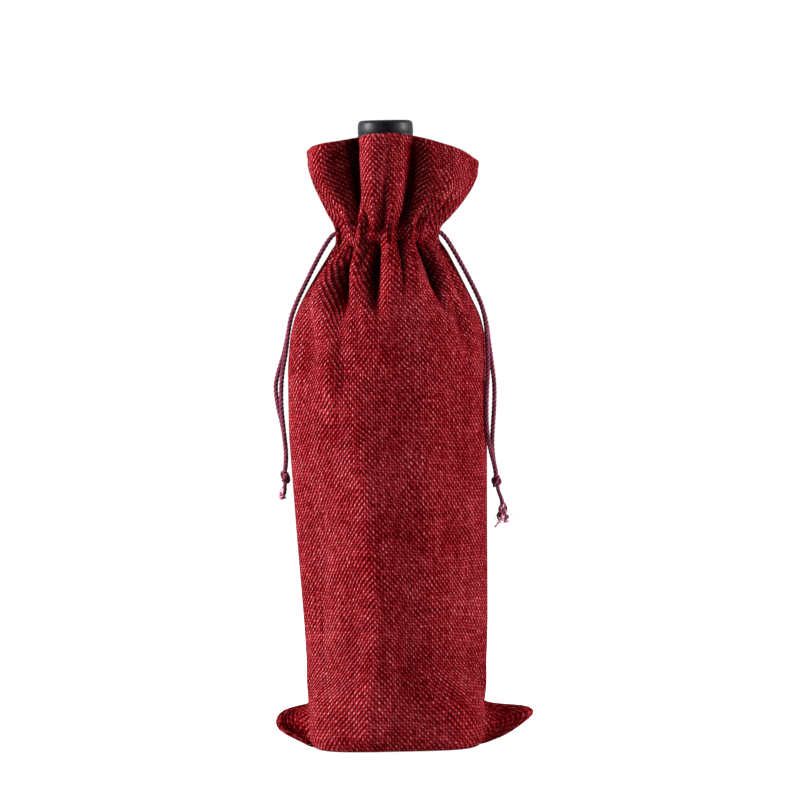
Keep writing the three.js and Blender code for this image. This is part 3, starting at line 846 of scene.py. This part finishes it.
def ear_outline(sign, height):
    """The point of an ear's edge where one row of cloth ends, and the direction its front faces."""
    edge = EARS[sign]
    length = travelled(edge)
    part = (height - SHAPE[0, 0]) / (EAR_TOP_ROW - SHAPE[0, 0]) * length[-1]
    point = between(part, length, edge)
    middle = edge[len(edge) // 2]
    face = np.cross(middle - edge[0], edge[-1] - edge[0])
    face[2] = 0
    face *= -np.sign(face[1]) / np.linalg.norm(face)
    return point, face


def squared_quarter(width, depth, power, steps):
    """Even steps from the root of an ear round a corner of the foot to the middle of its front or back."""
    angle = np.linspace(EAR_ROOT, math.pi / 2, 200)
    curve = np.column_stack([width * np.cos(angle).clip(0) ** power, depth * np.sin(angle) ** power])
    return evenly(curve, steps)


def ear_row(row, height, width, depth):
    """Moves the columns beside each side seam out to the ear, and spreads the rest over the body."""
    near = 1 - smoothstep((height - EAR_TOP_ROW) / EAR_FADE)
    if near <= 0:
        return row
    shaped = row.copy()
    for start, direction in ((0, 1), (HALF, -1), (HALF, 1), (COLUMNS, -1)):
        sign = 1 if start in (0, COLUMNS) else -1
        side = -1 if (start, direction) in ((0, 1), (HALF, -1)) else 1
        reach = EAR_COLUMNS[sign]
        corner = squared_quarter(width, depth, 1 - FOOT_SQUARE * near, HALF // 2 - reach)
        index = (start + direction * np.arange(reach, HALF // 2 + 1)) % COLUMNS
        shaped[index, :2] = corner * (sign, side)
        shaped[index, 1] -= side * fold_depth(height)[index] * smoothstep(height / FOOT_FLAT)
        root = np.array([*shaped[index[0], :2], height])
        if height < EAR_TOP_ROW:
            tip, face = ear_outline(sign, height)
        else:
            tip, face = np.array([sign * (width + 0.3), 0, height]), np.array([0, -1.0, 0])
        tip = tip - side * face * EAR_HALF
        for k in range(reach):
            part = k / reach
            point = tip + (root - tip) * part
            cup = math.sin(math.pi * part) * np.linalg.norm(root - tip)
            shaped[(start + direction * k) % COLUMNS] = point - face * cup * EAR_CUP[sign]
    return row * (1 - near) + shaped * near


def top_drop(cos):
    """How far below the middle of the collar its top fold runs, lowest at the corners."""
    return np.where(cos > 0, COLLAR_DROP[1] * np.abs(cos) ** 1.7, COLLAR_DROP[-1] * np.abs(cos) ** 2.4)


def hanging_shape():
    """Where the cloth would hang with its gathers and folds, before the solver relaxes it."""
    radial, sideways = gather_wave()
    rows = []
    for height, width, depth, shift in zip(ROW_HEIGHT, ROW_WIDTH, ROW_DEPTH, ROW_SHIFT):
        full = GATHER_HEIGHT * gather_envelope(height)
        a, b = width - full, depth - full
        angle = even_angles(a, b)
        cos, sin = np.cos(angle), np.sin(angle)
        outward = unit(np.stack([cos / a, -sin / b], axis=1))
        around = np.stack([-outward[:, 1], outward[:, 0]], axis=1)
        flat = np.stack([a * cos, -b * sin], axis=1)
        flat += outward * (full * radial - fold_depth(height) + slack(height))[:, None]
        flat -= around * (full * sideways)[:, None]
        least = np.interp(height, [LOWER_ROW, LOWER_ROW + SEWN, UPPER_ROW - SEWN, UPPER_ROW],
                          [NECK_CLEAR, TUNNEL_CLEAR, TUNNEL_CLEAR, NECK_CLEAR])
        flat *= np.maximum(1, least / np.hypot(*flat.T))[:, None]
        stretch = (COLLAR_TOP - top_drop(cos) - UPPER_ROW) / (COLLAR_TOP - UPPER_ROW)
        lift = min(height, UPPER_ROW) + max(height - UPPER_ROW, 0) * stretch
        row = ear_row(np.column_stack([flat, lift]), height, width, depth)
        row[:, 0] += shift
        rows.append(row)
    return np.array(rows)


# ---- relaxing the cloth

def bottle_radius(height):
    """Outside of the bottle, which the cloth cannot enter, at heights in the bag's frame."""
    return np.interp(height, [0, 3, 190, 203, 212, 220, 227, 236, 300],
                     [34, 37.5, 37.5, 35.6, 31.5, 26.4, 21, 16.2, 15.6])


def link_sets(shape):
    """Pairs of cloth points held apart by the weave, in sets with no point used twice."""
    rows, columns = shape
    number = np.arange(rows * columns).reshape(rows, columns)
    sets = []

    def add(first, second, kind):
        sets.append((first.ravel(), second.ravel(), kind))

    wrapped = np.concatenate([number, number[:, :2]], axis=1)
    for start in (0, 1):
        add(number[:, start::2], wrapped[:, start + 1:columns + 1:2], "across")
        add(number[start:-1:2], number[start + 1::2], "along")
        add(number[start:-1:2], wrapped[start + 1::2, 1:columns + 1], "shear")
        add(number[start + 1::2], wrapped[start:-1:2, 1:columns + 1], "shear")
    for start in range(4):
        keep = list(range(start, columns, 4))
        add(number[:, keep], wrapped[:, [c + 2 for c in keep]], "bend_across")
        picked = list(range(start, rows - 2, 4))
        add(number[picked], number[[r + 2 for r in picked]], "bend_along")
    return sets


ROUNDS, QUICK_ROUNDS = 260, 60
SAG = 0.004  # how far a free point sinks in each round
BOTTLE_CLEAR = 1.2  # least space between the bottle and the outside of the cloth
# How strongly each kind of link pulls when it is too long, and pushes when it is too short
STIFF = {"across": (0.9, 0.35), "along": (0.9, 0.6), "shear": (0.12, 0.05),
         "bend_across": (0.0, 0.10), "bend_along": (0.0, 0.22)}
# Lengths that the weave gives; links along the bag keep the length that they start with
REST = {"across": COLUMN_STEP, "bend_across": 2 * COLUMN_STEP, "shear": math.hypot(COLUMN_STEP, ROW_STEP)}


def rest_lengths(points, first, second, kind):
    if kind in REST:
        return np.full(len(first), REST[kind])
    return np.linalg.norm(points[second] - points[first], axis=1)


def relax(shape, rounds):
    """Position-based cloth: links keep the weave's lengths, and the bottle keeps the cloth out."""
    target = shape.reshape(-1, 3)
    points = target.copy()
    height = np.repeat(ROW_HEIGHT, COLUMNS)
    column = np.tile(np.arange(COLUMNS), ROWS)
    from_seam = np.minimum(column % HALF, HALF - column % HALF)
    held = ((height > LOWER_ROW - 1) & (height < UPPER_ROW + 1)) | (height < 3)
    held |= (height < EAR_TOP_ROW + 2) & (from_seam <= max(EAR_COLUMNS.values()))
    free = np.where(held, 0.0, 1.0)
    # How strongly each height is drawn back towards the shape it hangs in
    pull = np.interp(height, [3, 30, 180, 205, 245, 250, 262, 275, 300, 304],
                     [0.2, 0.10, 0.08, 0.10, 0.12, 0.15, 0.15, 0.10, 0.10, 0.10])
    pull = (pull * free)[:, None]
    links = []
    for first, second, kind in link_sets((ROWS, COLUMNS)):
        rest = rest_lengths(target, first, second, kind)
        weight = free[first] + free[second]
        use = weight > 0
        first, second, rest, weight = first[use], second[use], rest[use], weight[use]
        links.append((first, second, rest, free[first] / weight, free[second] / weight, *STIFF[kind]))
    for _ in range(rounds):
        points[:, 2] -= SAG * free
        for first, second, rest, share_a, share_b, stretch, squeeze in links:
            apart = points[second] - points[first]
            length = np.linalg.norm(apart, axis=1)
            over = length - rest
            size = np.where(over > 0, stretch, squeeze) * over / np.maximum(length, 1e-6)
            points[first] += (size * share_a)[:, None] * apart
            points[second] -= (size * share_b)[:, None] * apart
        points += pull * (target - points)
        limit = bottle_radius(points[:, 2]) + BOTTLE_CLEAR
        radius = np.hypot(points[:, 0], points[:, 1])
        inside = (radius < limit) & (free > 0)
        points[inside, :2] *= (limit[inside] / radius[inside])[:, None]
    return points.reshape(ROWS, COLUMNS, 3)


def unit_normals(grid):
    """Outward unit normals of a closed tube of rows and columns."""
    across = np.roll(grid, -1, axis=1) - np.roll(grid, 1, axis=1)
    along = np.gradient(grid, axis=0)
    return unit(np.cross(along, across))


FACING_OFFSET = 1.5  # from the wall to the facing inside it
FOLD_RISE = 0.55  # of the top fold above the top row
SEAM_GAP = 0.12  # half the space between the panels at a side seam
SLIT_GAP = 3.2  # and at the slits for the cords
FLOOR_GAP = 0.15  # least height of the cloth above the floor
# Painted shade in the cloth's folds: how a hollow is found, and how deep it must be for the darkest shade
HOLLOW_REACH = 9  # how many columns away the edge of a hollow can be
HOLLOW_SLOPE = 0.35  # how much lower that edge counts for each column
HOLLOW_DEPTH = 5.0  # from here on a hollow counts in full, with the full painted shade
HEM_CREASE = 0.45  # depth of the crease at the edge of the seam allowance
BASE_REACH = 36.0  # from the bottom seam to the foot of the wall
BASE_PARTS = (0, 0.25, 0.5, 0.75)
WEFT_BOW = 5.5  # how far the level yarns rise between the side seams
BOW_PLACE = 12.0  # where along the panel's width they are highest


def painted_shade_by_point(tube):
    """Painted shade at each point: how deep it lies between the cloth on its two sides, from 0 to 1, and
    the painted shade on the ears.
    """
    radius = np.hypot(tube[..., 0], tube[..., 1])
    sides = []
    for direction in (1, -1):
        ahead = [np.roll(radius, direction * k, axis=1) - HOLLOW_SLOPE * k
                 for k in range(1, HOLLOW_REACH + 1)]
        sides.append(np.max(ahead, axis=0))
    depth = np.clip((np.minimum(*sides) - radius) / HOLLOW_DEPTH, 0, 1)
    depth *= smoothstep((ROW_HEIGHT - 30) / 30)[:, None]
    # Painted shade on the ears: only the rows near the middle of the left ear get it in full
    low = smoothstep((EAR_TOP_ROW + 1 - ROW_HEIGHT) / 2)
    lip = {1: 1.0, -1: 0.25 + 0.85 * np.exp(-((ROW_HEIGHT - 7.5) / 2.3) ** 2)}
    for seam, sign in ((0, 1), (HALF, -1)):
        reach = EAR_COLUMNS[sign]
        for k in range(-reach, reach + 1):
            middle = math.sin(math.pi * abs(k) / reach)
            depth[:, (seam + k) % COLUMNS] += low * EAR_PAINTED_SHADE[sign] * lip[sign] * middle
    return depth


# ---- panels cut from the tube

def panel_grid(tube, normals, front):
    """One panel's base, wall, top fold and facing as rows of points, with each row's place along the
    flat cloth and the painted shade of each point, for how deep in a fold it lies and on the ears."""
    columns = np.arange(HALF + 1) if front else np.arange(HALF, COLUMNS + 1) % COLUMNS
    side = -1 if front else 1
    wall = tube[:, columns].copy()
    normal = normals[:, columns]
    crease = int(np.argmin(np.abs(ROW_HEIGHT - (COLLAR_TOP - HEM))))
    wall[crease] -= normal[crease] * HEM_CREASE
    slit = (ROW_HEIGHT > LOWER_ROW + 1) & (ROW_HEIGHT < UPPER_ROW - 1)
    for edge, inner in ((0, 1), (-1, -2)):
        wall[:, edge, 1] += side * SEAM_GAP
        wall[:, edge, 0] -= np.sign(wall[:, edge, 0]) * 0.4
        wall[slit, edge, 1] = side * SLIT_GAP
        wall[slit, inner, 1] = side * np.maximum(np.abs(wall[slit, inner, 1]), SLIT_GAP + 1)
    heel = wall[0]
    base = []
    for part in BASE_PARTS:
        row = heel.copy()
        row[:, 0] *= 0.86 + 0.14 * part
        row[:, 1] = side * 0.3 + (heel[:, 1] - side * 0.3) * part
        row[:, 2] = heel[:, 2] * (0.4 + 0.6 * part)
        base.append(row)
    top = wall[-1]
    inward = -normal[-1] * [1, 1, 0]
    fold = [top + inward * reach + [0, 0, FOLD_RISE] for reach in (0.35, FACING_OFFSET - 0.35)]
    last = int(np.searchsorted(ROW_HEIGHT, UPPER_ROW - 2))
    facing = [wall[r] - normal[r] * FACING_OFFSET for r in range(ROWS - 1, last, -1)]
    grid = np.array([*base, *wall, *fold, *facing])
    lengths = [ROW_LENGTH[0] - BASE_REACH * (1 - part) for part in BASE_PARTS]
    lengths += list(ROW_LENGTH)
    past_top = [0.7, 1.6, *(2.2 + ROW_STEP * np.arange(len(facing)))]
    lengths += [ROW_LENGTH[-1] + way for way in past_top]
    # Painted shade: darker colour deep in the folds and on the ears
    deep = painted_shade_by_point(tube)[:, columns]
    deep = np.vstack([np.zeros((len(base), len(columns))), deep, deep[-1:], deep[-1:], deep[:last:-1]])
    return grid, np.array(lengths), deep


def grid_object(name, grid, across, along, deep):
    """A sheet of quads whose UV map holds the flat place of each point, in metres."""
    rows, columns = grid.shape[:2]
    number = np.arange(rows * columns).reshape(rows, columns)
    quads = np.stack([number[:-1, :-1], number[:-1, 1:], number[1:, 1:], number[1:, :-1]], axis=2)
    quads = quads.reshape(-1, 4)
    u, v = np.meshgrid(across, along)
    v = v - WEFT_BOW * (1 - np.abs(across - BOW_PLACE) / (FLAT_WIDTH / 2))[None, :]
    flat = np.stack([u, v], axis=2).reshape(-1, 2) * MM
    sheet = mesh_object(name, grid.reshape(-1, 3), quads, flat[quads.ravel()])
    # The painted shade goes to the cloth's material as a point attribute
    sheet.data.attributes.new("painted_shade", "FLOAT", "POINT").data.foreach_set("value", deep.ravel())
    return sheet


def thicken(thing):
    """Rounds the sheet with one subdivision, gives it the cloth's thickness and keeps the result."""
    rounding = thing.modifiers.new("rounding", "SUBSURF")
    rounding.levels = 1
    shell = thing.modifiers.new("shell", "SOLIDIFY")
    shell.thickness = CLOTH * MM
    shell.offset = -1
    depsgraph = bpy.context.evaluated_depsgraph_get()
    mesh = bpy.data.meshes.new_from_object(thing.evaluated_get(depsgraph))
    thing.modifiers.clear()
    thing.data = mesh
    for vertex in mesh.vertices:
        vertex.co.z = max(vertex.co.z, FLOOR_GAP * MM)
    mesh.shade_smooth()


def sew_bag():
    tube = relax(hanging_shape(), ROUNDS)
    normals = unit_normals(tube)
    across = (np.arange(HALF + 1) - HALF / 2) * COLUMN_STEP
    for place in PLACES:
        grid, along, deep = panel_grid(tube, normals, place == "front")
        cloth = grid_object(f"{place}_cloth", grid, across, along, deep)
        cloth.data.materials.append(CLOTH_LOOK)
        thicken(cloth)
        stand_for(cloth, f"{place}_panel", "bag")
    return tube, normals


TUBE, NORMALS = sew_bag()


# ---- sewing

STITCH = 2.6  # length of one stitch on the outside
STITCH_GAP = 1.1
OVERLOCK = 1.4  # between the points of an overlocked row
THREAD_RADIUS = 0.26


def on_cloth(height, places):
    """Points of the cloth's outside, and its normals, at places counted in columns round the bag."""
    row = np.interp(height, ROW_HEIGHT, np.arange(ROWS))
    low = int(row)
    part = row - low
    found = []
    for grid in (TUBE, NORMALS):
        ring = grid[low] * (1 - part) + grid[low + 1] * part
        found.append(between(places % COLUMNS, np.arange(COLUMNS + 1), np.vstack([ring, ring[:1]])))
    return found[0], unit(found[1])


def stitch_row(name, height, node):
    """Running stitches that dip into the cloth between each other."""
    columns = (STITCH + STITCH_GAP) / COLUMN_STEP
    count = int(COLUMNS / columns)
    parts = []
    for k in range(count):
        start = k * COLUMNS / count
        places = start + np.linspace(0, STITCH / COLUMN_STEP, 7)
        point, normal = on_cloth(height, places)
        rise = 0.34 * np.sin(np.linspace(0, math.pi, 7)) - 0.12
        parts.append(tube_parts(point + normal * rise[:, None], THREAD_RADIUS, 8, 1.2))
    stand_for(joined(name, parts, THREAD_LOOK), node, "bag")


def overlock(name, route, node):
    thread = joined(name, [tube_parts(smooth_route(route, 0.8), THREAD_RADIUS, 6)], THREAD_LOOK)
    stand_for(thread, node, "bag")


def side_thread(side, column):
    """The overlocked row just inside a side seam."""
    route = []
    for k, height in enumerate(np.arange(24, 245, OVERLOCK)):
        point, _ = on_cloth(height, np.array([float(column)]))
        route.append(point[0] + [-SIDES[side] * (2.3 + 0.5 * (k % 2)), 0.45 * (-1) ** (k // 2), 0])
    overlock(f"{side}_overlock", route, f"{side}_side_seam")


def bottom_thread():
    """The overlocked row along the bottom seam, under the bottle's foot."""
    places = enumerate(np.arange(-34, 34.5, OVERLOCK))
    route = [(x, 0.3 * (-1) ** k, 1.95 + 0.12 * (-1) ** (k // 2)) for k, x in places]
    overlock("bottom_overlock", route, "bottom_seam")


stitch_row("upper_stitches", UPPER_ROW, "casing_stitch_upper")
stitch_row("lower_stitches", LOWER_ROW, "casing_stitch_lower")
side_thread("left", HALF)
side_thread("right", 0)
bottom_thread()


# ---- bottle, wine, cork and capsule

TURNS = 96  # facets round the bottle


def bezier(corners, count):
    t = np.linspace(0, 1, count + 1)[:, None]
    points = [np.array(corner, float) for corner in corners]
    while len(points) > 1:
        points = [a * (1 - t) + b * t for a, b in zip(points, points[1:])]
    return [tuple(p) for p in points[0]]


def lathe(name, profile, material, node):
    """Turns a profile of radius and height round the bottle's axis. It starts and ends on the axis."""
    parts = np.array(profile)
    angle = np.arange(TURNS) * TAU / TURNS
    inner = parts[1:-1]
    ring = np.stack([inner[:, :1] * np.cos(angle), inner[:, :1] * np.sin(angle),
                     inner[:, 1:] + 0 * angle], axis=2)
    points = [(0, 0, parts[0, 1]), *ring.reshape(-1, 3), (0, 0, parts[-1, 1])]
    faces = []
    last = len(points) - 1
    for k in range(TURNS):
        beside = (k + 1) % TURNS
        faces.append((0, 1 + beside, 1 + k))
        for r in range(len(inner) - 1):
            here, above = 1 + r * TURNS, 1 + (r + 1) * TURNS
            faces.append((here + k, here + beside, above + beside, above + k))
        top = 1 + (len(inner) - 1) * TURNS
        faces.append((last, top + k, top + beside))
    thing = mesh_object(name, np.array(points) + [0, 0, BOTTLE_FOOT], faces)
    thing.data.materials.append(material)
    stand_for(thing, node, "bottle")


def bottle_inside(clearance, level):
    """The inside of the bottle from the middle of its floor to a level in the neck."""
    radius = BOTTLE_RADIUS - BOTTLE_WALL - clearance
    throat = THROAT - clearance
    floor = PUNT + 4 + clearance
    end = np.interp(level, [NECK_FOOT, BORE_FOOT], [throat, BORE - clearance])
    heel = [(9, floor - 0.2), (18, floor - 2), (radius, 4 + clearance), (radius, 14)]
    return [
        (0, floor), *bezier(heel, 14),
        *bezier([(radius, SHOULDER - 2), (radius, 207), (throat + 2, 207), (throat, NECK_FOOT)], 22),
        (end, level),
    ]


def make_bottle():
    lip = BOTTLE_HEIGHT
    outside = [
        (0, PUNT), *bezier([(4, PUNT), (20, PUNT - 1), (29, 1.5), (31, 0)], 12),
        *bezier([(33, 0), (BOTTLE_RADIUS, 0), (BOTTLE_RADIUS, 5)], 7),
        *bezier([(BOTTLE_RADIUS, SHOULDER), (BOTTLE_RADIUS, 208), (NECK_RADIUS + 2, 208),
                 (NECK_RADIUS, NECK_FOOT)], 24),
        *bezier([(LIP_RADIUS, lip - 1.2), (LIP_RADIUS, lip), (LIP_RADIUS - 1.2, lip)], 4),
        *bezier([(BORE + 0.8, lip), (BORE, lip), (BORE, lip - 0.8)], 3),
    ]
    glass = outside + bottle_inside(0, BORE_FOOT)[::-1]
    lathe("glass_bottle", glass, GLASS_LOOK, "bottle_glass")
    lathe("red_wine", [*bottle_inside(GAP, WINE_LEVEL), (0, WINE_LEVEL)], WINE_LOOK, "wine")
    top = lip - 1
    foot = top - CORK_LENGTH
    r = CORK_RADIUS
    stopper = [(0, foot), (r - 0.9, foot), (r - 0.2, foot + 0.3), (r, foot + 1.0), (r, top - 0.6),
               (r - 0.5, top), (0, top)]
    lathe("cork_stopper", stopper, CORK_LOOK, "cork")


def make_capsule():
    """A thin cap pushed over the lip, with a bead round its top and a rolled tear line below it."""
    top = BOTTLE_HEIGHT + GAP
    crown = top + CAPSULE_WALL
    foot = CAPSULE_FOOT

    def wall(z, out=0.0):
        neck = float(np.interp(z, [NECK_FOOT, BOTTLE_HEIGHT], [NECK_RADIUS, LIP_RADIUS]))
        return neck + GAP + CAPSULE_WALL + out

    outside = [(wall(foot) - CAPSULE_WALL, foot), (wall(foot), foot)]
    outside += [(wall(z), z) for z in np.linspace(foot + 8, top - 11, 6)]
    for below, out in ((7.2, 0), (6.9, -0.18), (6.3, -0.18), (6.0, 0), (3.4, 0)):
        outside.append((wall(top - below, out), top - below))
    bead = wall(top, 0.05)
    outside += bezier([(bead, top - 2.4), (bead, crown), (wall(top) - 2.4, crown)], 8)
    outside += [(wall(top) - 3.2, crown - 0.12), (4.0, crown - 0.2), (0, crown - 0.2)]
    inside = [(0, top - 0.05), (wall(top) - CAPSULE_WALL - 0.3, top - 0.05)]
    inside += [(wall(z) - CAPSULE_WALL, z) for z in np.linspace(top - 1, foot + 1, 6)]
    lathe("bottle_capsule", inside + outside, CAPSULE_LOOK, "capsule")


make_bottle()
make_capsule()
